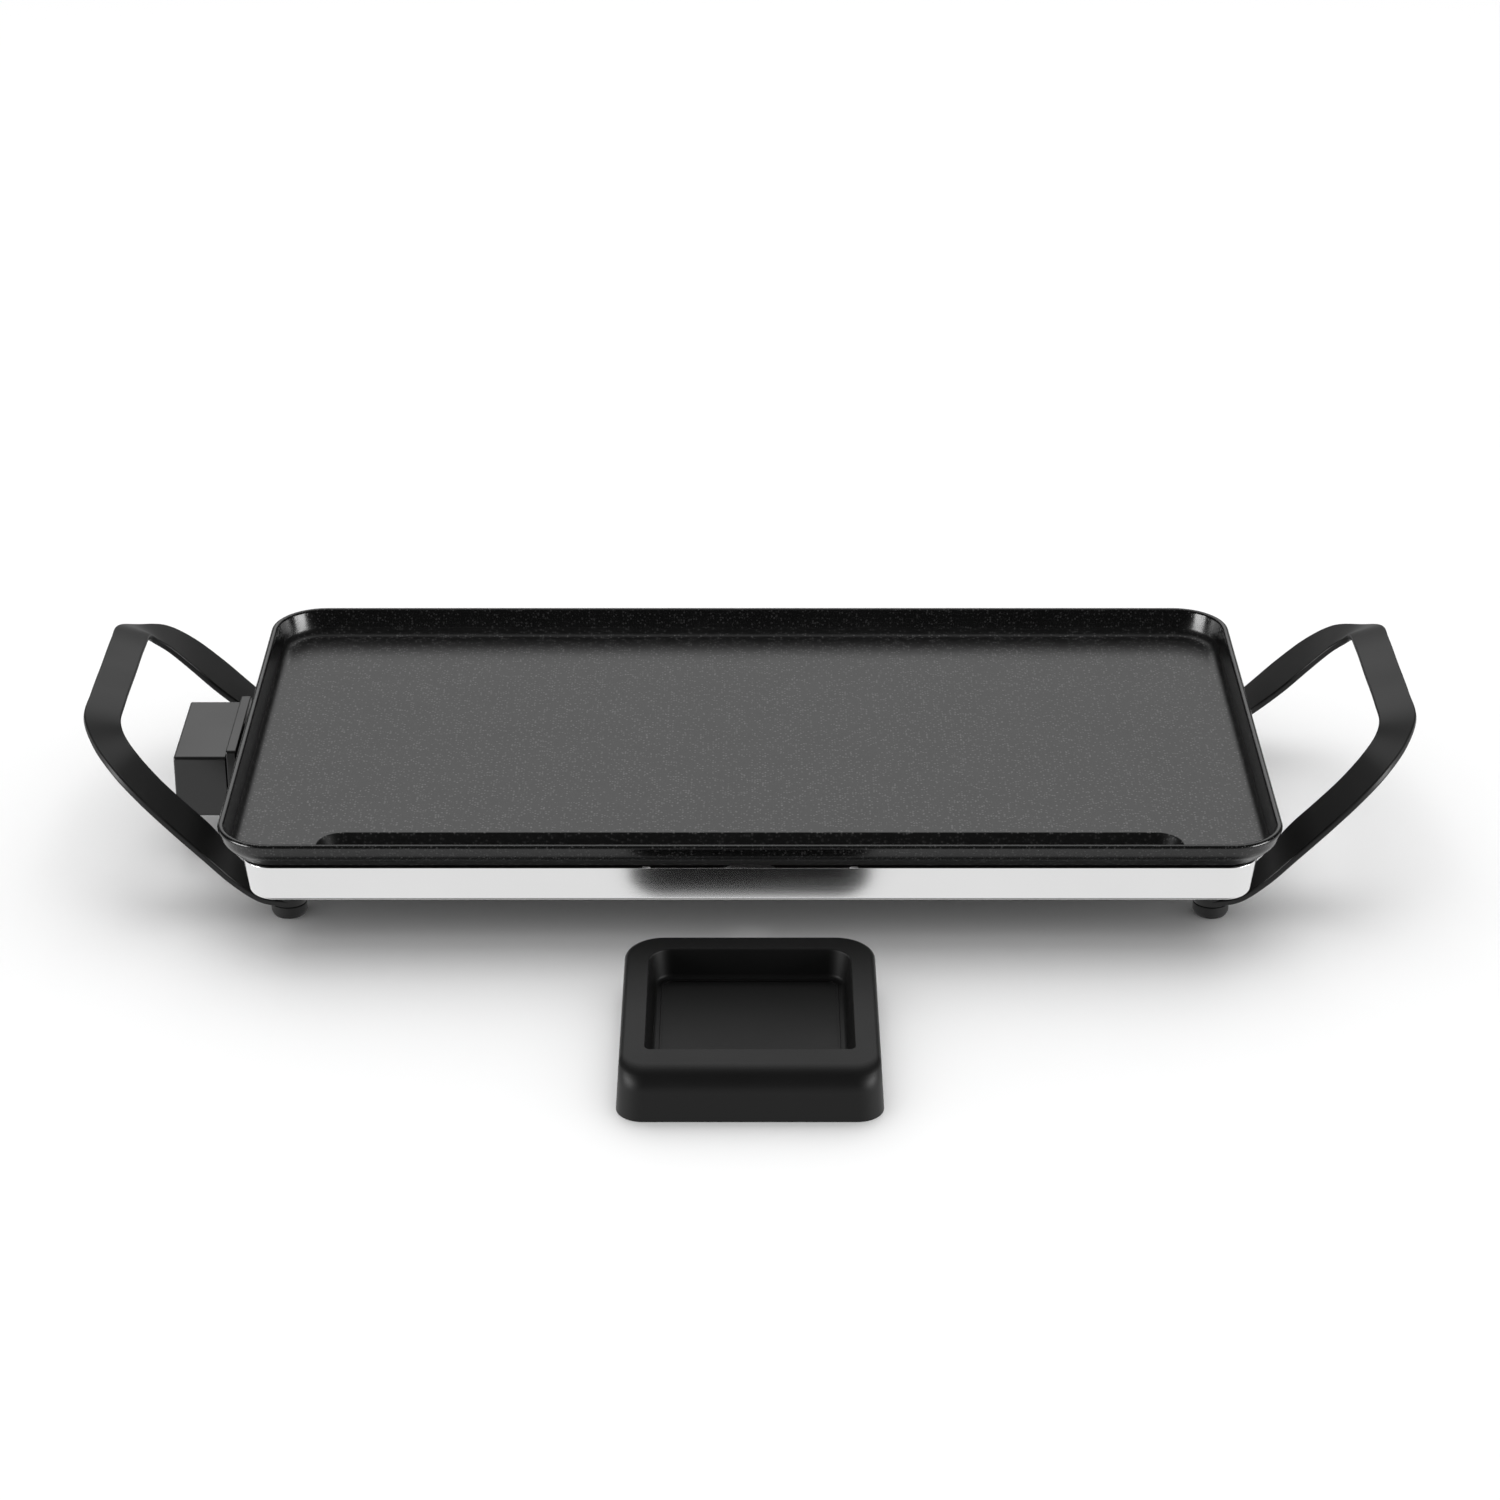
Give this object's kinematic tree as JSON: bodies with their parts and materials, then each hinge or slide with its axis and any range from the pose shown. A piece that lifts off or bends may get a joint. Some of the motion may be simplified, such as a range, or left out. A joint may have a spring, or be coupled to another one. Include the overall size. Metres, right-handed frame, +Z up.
{
  "type": "electric griddle",
  "caption": "Rectangular electric table griddle: speckled non-stick pan on a polished band, strap handles that end in the feet, side socket for a plug-in thermostat and a slide-in drip tray.",
  "frame": {"origin": "on the standing surface, under the middle of the box round the griddle and its drip tray", "axes": "+X to the right along the plate, +Y to the back, +Z up; the drip tray stands in front, at -Y"},
  "size_m": [0.588, 0.3888, 0.0829],
  "materials": {
    "non_stick_aluminium": "cast aluminium with a black non-stick coat, semi-gloss, fine pale specks",
    "polished_stainless": "bright polished stainless sheet",
    "black_plastic": "heat-proof moulded plastic, satin black",
    "tray_plastic": "moulded plastic, fine satin black",
    "rubber": "black rubber",
    "zinc_steel": "zinc-plated steel",
    "heater_steel": "oxidised heater sheath",
    "bare_aluminium": "bright aluminium sheet",
    "ceramic": "ceramic end seal",
    "brass": "plain brass"
  },
  "bodies": {
    "griddle": {"body_shell": "polished_stainless", "clamp_screw_1": "zinc_steel", "clamp_screw_2": "zinc_steel", "clamp_screw_3": "zinc_steel", "clamp_screw_4": "zinc_steel", "clamp_screw_5": "zinc_steel", "clamp_screw_6": "zinc_steel", "earth_contact": "brass", "element_clamp_1": "zinc_steel", "element_clamp_2": "zinc_steel", "element_clamp_3": "zinc_steel", "element_clamp_4": "zinc_steel", "element_clamp_5": "zinc_steel", "element_clamp_6": "zinc_steel", "foot_back_left": "rubber", "foot_back_right": "rubber", "foot_front_left": "rubber", "foot_front_right": "rubber", "foot_nut_back_left": "zinc_steel", "foot_nut_back_right": "zinc_steel", "foot_nut_front_left": "zinc_steel", "foot_nut_front_right": "zinc_steel", "foot_screw_back_left": "zinc_steel", "foot_screw_back_right": "zinc_steel", "foot_screw_front_left": "zinc_steel", "foot_screw_front_right": "zinc_steel", "griddle_plate": "non_stick_aluminium", "heat_reflector": "bare_aluminium", "heating_element": "heater_steel", "left_handle": "black_plastic", "plate_screw_1": "zinc_steel", "plate_screw_2": "zinc_steel", "plate_screw_3": "zinc_steel", "plate_screw_4": "zinc_steel", "probe_clamp": "zinc_steel", "probe_clamp_screw": "zinc_steel", "probe_tube": "brass", "right_handle": "black_plastic", "socket_flange": "black_plastic", "socket_housing": "black_plastic", "socket_nut_back": "zinc_steel", "socket_nut_front": "zinc_steel", "socket_screw_back": "zinc_steel", "socket_screw_front": "zinc_steel", "terminal_bead_back": "ceramic", "terminal_bead_front": "ceramic", "terminal_pin_back": "brass", "terminal_pin_front": "brass"},
    "drip_tray": {"drip_tray": "tray_plastic"}
  },
  "joints": [
    {"name": "drip_tray_slide", "type": "slide", "parent": "griddle", "child": "drip_tray", "axis": [0, 1, 0], "range_m": [0, 0.08]}
  ]
}
